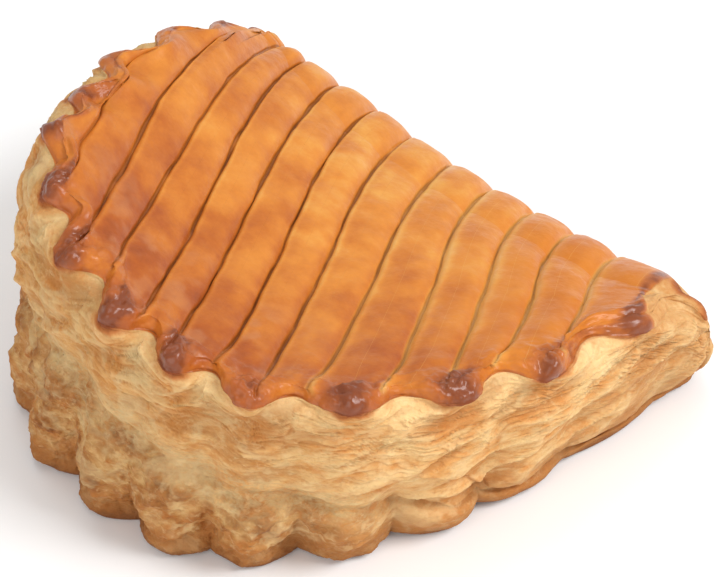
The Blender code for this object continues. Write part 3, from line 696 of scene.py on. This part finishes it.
def raw_colour(m):
    """The opened layers of the side: cream where they are freshly parted, tan and brown where they have baked, with
    painted shade on the tall side, in the hollows, in the seam groove and in the notches of the foot, and partly
    painted contact shadow along the bottom.
    """
    arcs, tip, arch, z, below, seam, upper, wrinkle, sheet, crumb, blister, cut, brown, mouth = (
        m.attr(a) for a in ('arc', 'tip', 'arch', 'z', 'below', 'seam', 'upper', 'wrinkle', 'sheet', 'crumb', 'blister', 'cut', 'brown', 'mouth'))
    big, mid, small = m.noise(15, 3, .5), m.noise(5, 4, .6, (1, 1, 1.7)), m.noise(1.5, 4, .65, (1, 1, 2.4))
    fibre = m.noise(2.2, 5, .7, (1, 1, 2.8), 1.2)
    sway = m.math('SUBTRACT', big, .5)
    # cream, darker and greyer towards the tall side: painted shade for the side turned away from the key light
    cream = m.mix(m.ramp(mid, .35, .68), srgb(238, 200, 146), srgb(224, 164, 100))
    shaded_cream = m.mix(m.ramp(mid, .35, .68), srgb(222, 176, 118), srgb(204, 146, 82))
    tall_side_shade = m.ramp(m.math('ADD', arcs, m.math('MULTIPLY', sway, .22)), .27, .52)
    up = m.mix(tall_side_shade, cream, shaded_cream)
    # the crumbly lower sheet
    crumbly = m.stops(m.math('ADD', m.math('MULTIPLY', crumb, .46), m.math('ADD', m.math('MULTIPLY', fibre, .60), .17)),
                      ((.15, srgb(218, 180, 128)), (.38, srgb(194, 148, 94)), (.56, srgb(168, 112, 58)), (.78, srgb(132, 80, 38))))
    low = m.mix(m.ramp(m.math('ADD', arcs, m.math('MULTIPLY', sway, .16)), .20, .36), m.mix(m.ramp(mid, .4, .7), srgb(232, 180, 120), srgb(214, 148, 82)), crumbly)
    base = m.mix(m.ramp(m.math('ADD', seam, m.math('MULTIPLY', m.math('SUBTRACT', mid, .5), 6)), -2.0, 2.0), low, up)
    pale = m.math('MULTIPLY', m.ramp(m.math('ABSOLUTE', m.math('ADD', seam, m.math('MULTIPLY', sway, 8))), 1.0, 7.0, .8, 0), m.ramp(fibre, .35, .6))
    base = m.mix(m.math('MULTIPLY', pale, m.ramp(arcs, .20, .34)), base, srgb(202, 176, 134))
    # domes in the arches are the palest, and the folds under the tips are orange tan
    # the domes are darker and greyer on the tall side: painted shade
    base = m.mix(m.math('MULTIPLY', m.math('MULTIPLY', arch, m.ramp(m.math('ADD', below, m.math('MULTIPLY', m.math('SUBTRACT', mid, .5), 8)), 12, 5)), .95, clamp=True), base, m.mix(tall_side_shade, srgb(250, 218, 166), srgb(200, 172, 126)))
    tan = m.math('MULTIPLY', m.math('MULTIPLY', m.ramp(below, 18, 7), m.ramp(below, 2, 5)), m.ramp(m.math('SUBTRACT', tip, m.math('MULTIPLY', arch, .3)), .1, .8))
    base = m.mix(m.math('MULTIPLY', m.math('MULTIPLY', tan, m.math('ADD', .30, m.math('MULTIPLY', m.attr('streak'), .70))), .62), base, srgb(212, 138, 68))
    base = m.mix(m.math('MULTIPLY', m.ramp(sheet, .62, .98), .26), base, srgb(190, 122, 60))
    base = m.mix(m.math('MULTIPLY', wrinkle, .45), base, srgb(178, 104, 44))
    base = m.mix(m.math('MULTIPLY', m.ramp(small, .52, .78), .20), base, srgb(178, 116, 62))
    base = m.mix(m.math('MULTIPLY', m.attr('corner'), .65), base, srgb(204, 148, 92))
    # painted shade: darker in the groove of the seam between the sheets
    base = m.mix(m.ramp(cut, .35, .9, 0, .6), base, srgb(150, 98, 52))
    base = m.mix(m.math('MULTIPLY', mouth, .75), base, srgb(196, 116, 50))
    # painted shade: darker tan low in the arches between the lobes of the foot, where the notches fall in shadow
    notch_shade = m.ramp(m.math('ADD', z, m.math('MULTIPLY', m.math('SUBTRACT', mid, .5), 8)), 15, 6)
    base = m.mix(m.math('MULTIPLY', m.math('MULTIPLY', arch, notch_shade), .60), base, srgb(168, 116, 66))
    on_lobe = m.math('MULTIPLY', m.math('MULTIPLY', tip, m.ramp(m.math('ADD', z, m.math('MULTIPLY', m.math('SUBTRACT', mid, .5), 10)), 13, 5)), .60)
    base = m.mix(on_lobe, base, srgb(184, 116, 56))
    # painted shade in the hollows of the side's relief; on the raised parts, a painted highlight on the upper sheet and
    # real browning on the lower sheet
    rel = m.attr('relief')
    base = m.mix(m.ramp(rel, -.15, -.90, 0, .42), base, srgb(172, 108, 50))
    base = m.mix(m.ramp(rel, .15, .90, 0, .40), base, m.mix(upper, srgb(190, 132, 76), srgb(244, 216, 168)))
    fine = m.noise(1.1, 3, .7)
    base = m.mix(m.ramp(fine, .52, .72, 0, .30), base, srgb(186, 116, 56))
    base = m.mix(m.ramp(m.noise(2.4, 3, .65, (1, 1, 1.5)), .52, .70, 0, .28), base, srgb(244, 220, 176))
    patch = m.noise(8, 3, .55, (1, 1, 1.3), .8)
    # the pale patches are darker and greyer on the tall side: painted shade
    base = m.mix(m.ramp(patch, .52, .66, 0, .38), base, m.mix(tall_side_shade, srgb(244, 218, 172), srgb(216, 196, 156)))
    base = m.mix(m.ramp(patch, .46, .32, 0, .36), base, srgb(200, 126, 60))
    # the foot darker brown: partly real browning of its edge, partly painted contact shadow along the bottom
    base = m.mix(m.ramp(m.math('ADD', z, m.math('MULTIPLY', m.math('SUBTRACT', mid, .5), 9)), 1.5, 8.5, .72, 0), base, srgb(162, 106, 56))
    base = m.mix(m.ramp(m.math('ADD', z, m.math('MULTIPLY', m.math('SUBTRACT', small, .5), 1.6)), .4, 3.0, .85, 0), base, srgb(118, 68, 32))
    edge = m.math('ADD', brown, m.math('MULTIPLY', m.math('MULTIPLY', m.math('SUBTRACT', mid, .5), brown), 1.0))
    base = m.mix(m.ramp(edge, .20, .50, 0, .8), base, srgb(184, 104, 50))
    return m.mix(m.ramp(edge, .42, .85, 0, .88), base, srgb(130, 60, 28))


def pastry(name):
    m = Nodes(name)
    fold, crust, corner, h, v, k, brown, z = (m.attr(a) for a in ('fold', 'crust', 'corner', 'h', 'v', 'k', 'brown', 'z'))
    glazed, raw = crust_colour(m), raw_colour(m)
    wear = m.noise(4, 4, .6)
    under = m.mix(m.ramp(wear, .35, .65), srgb(222, 164, 100), srgb(204, 132, 66))
    # darker towards the bottom: partly real browning, partly painted contact shadow, as on the foot
    under = m.mix(m.ramp(m.math('ADD', z, m.math('MULTIPLY', m.math('SUBTRACT', wear, .5), 6)), 0, 5, .8, 0), under, srgb(160, 94, 42))
    raw = m.mix(m.math('MULTIPLY', fold, m.math('SUBTRACT', 1.0, corner)), raw, under)
    shown = m.math('SUBTRACT', crust, m.math('MULTIPLY', corner, .9))
    shown = m.ramp(m.math('ADD', shown, m.math('MULTIPLY', m.math('SUBTRACT', wear, .5), .5)), .3, .7)
    glazed = m.mix(1.0, glazed, (.86, .88, .70), 'MULTIPLY')
    raw = m.mix(1.0, raw, (.94, .88, .75), 'MULTIPLY')
    m.link(m.mix(shown, raw, glazed), m.bsdf.inputs['Base Color'])
    gloss = m.ramp(m.noise(2.6, 4, .65), .35, .65, .33, .52)
    m.link(m.mixf(shown, m.ramp(m.noise(1.4, 3, .6), .3, .7, .58, .80), gloss), m.bsdf.inputs['Roughness'])
    m.bsdf.inputs['Specular IOR Level'].default_value = .25
    m.link(m.math('MULTIPLY', shown, m.math('ADD', .08, m.math('MULTIPLY', brown, .42))), m.bsdf.inputs['Coat Weight'])
    m.bsdf.inputs['Coat Roughness'].default_value = .18
    m.bsdf.inputs['Subsurface Weight'].default_value = .08
    m.bsdf.inputs['Subsurface Radius'].default_value = (1.0, .55, .25)
    m.bsdf.inputs['Subsurface Scale'].default_value = .003
    rough = m.math('SUBTRACT', 1.0, m.math('MULTIPLY', shown, .86))
    b = m.bump(m.math('MULTIPLY', m.noise(1.2, 4, .65, (1, 1, 1.8)), rough), .45, .9)
    b = m.bump(m.noise(3.4, 3, .6), .30, .5, b)
    m.link(b, m.bsdf.inputs['Normal'])
    return m.mat


baked = pastry('baked_pastry')
cuts = [0, 70, 140, 203, nr - 1]
pieces = [make(n, a, b + 1, baked) for n, a, b in zip(('lower_sheet', 'upper_sheet', 'pinched_edge', 'scored_top'), cuts, cuts[1:])]
for ob in pieces:
    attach(ob, 'root')
    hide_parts('turnover')

# ================================================================ table, lights, camera
me = bpy.data.meshes.new('table')
me.from_pydata([(-3, -3, 0), (3, -3, 0), (3, 3, 0), (-3, 3, 0)], [], [(0, 1, 2, 3)])
table = bpy.data.objects.new('table', me)
bpy.context.scene.collection.objects.link(table)
mt = Nodes('pale_table')
mt.bsdf.inputs['Base Color'].default_value = (.93, .93, .93, 1)
mt.bsdf.inputs['Roughness'].default_value = .9
me.materials.append(mt.mat)

YAW, ELEV = radians(46.917), radians(42)
FOCAL_PX, DISTANCE, TX, TY = 2100, 3.4024, -0.0856, 0.0461
back = Vector((np.sin(YAW) * np.cos(ELEV), -np.cos(YAW) * np.cos(ELEV), np.sin(ELEV)))
right = Vector((np.cos(YAW), np.sin(YAW), 0))
up = back.cross(right)
pivot = Vector((0, -.4, .15))
eye = (pivot + back * DISTANCE - right * TX - up * TY) * FOLD + Vector(SHIFT)
cam_data = bpy.data.cameras.new('camera')
cam_data.sensor_width = 36
cam_data.lens = FOCAL_PX * 36 / 728
camera = bpy.data.objects.new('camera', cam_data)
camera.matrix_world = Matrix.Translation(eye) @ Matrix((right, up, back)).transposed().to_4x4()
cam_data.clip_start, cam_data.clip_end = .01, 20
bpy.context.scene.collection.objects.link(camera)
bpy.context.scene.camera = camera


def area(name, direction, distance, size, power, colour=(1, 1, 1)):
    li = bpy.data.lights.new(name, 'AREA')
    li.shape, li.size, li.energy, li.color = 'DISK', size, power, colour
    ob = bpy.data.objects.new(name, li)
    d = (right * direction[0] + Vector((-np.sin(YAW), np.cos(YAW), 0)) * direction[1] + Vector((0, 0, 1)) * direction[2]).normalized()
    ob.location = Vector((0, 0, .02)) + d * distance
    ob.rotation_euler = d.to_track_quat('Z', 'Y').to_euler()
    bpy.context.scene.collection.objects.link(ob)


# directions: to the camera's right, away from the camera, up
area('key', (.95, -.25, 1.0), 1.0, .5, 6.8)
area('fill', (-.6, -1.0, .6), 1.3, 1.1, 5.6)
area('top', (-.1, .3, 1), 1.2, .7, 2.6)
world = bpy.data.worlds.new('world')
bpy.context.scene.world = world
world.use_nodes = True
world.node_tree.nodes['Background'].inputs[0].default_value = (1, 1, 1, 1)
world.node_tree.nodes['Background'].inputs[1].default_value = .55
bpy.context.scene.view_settings.view_transform = 'Standard'
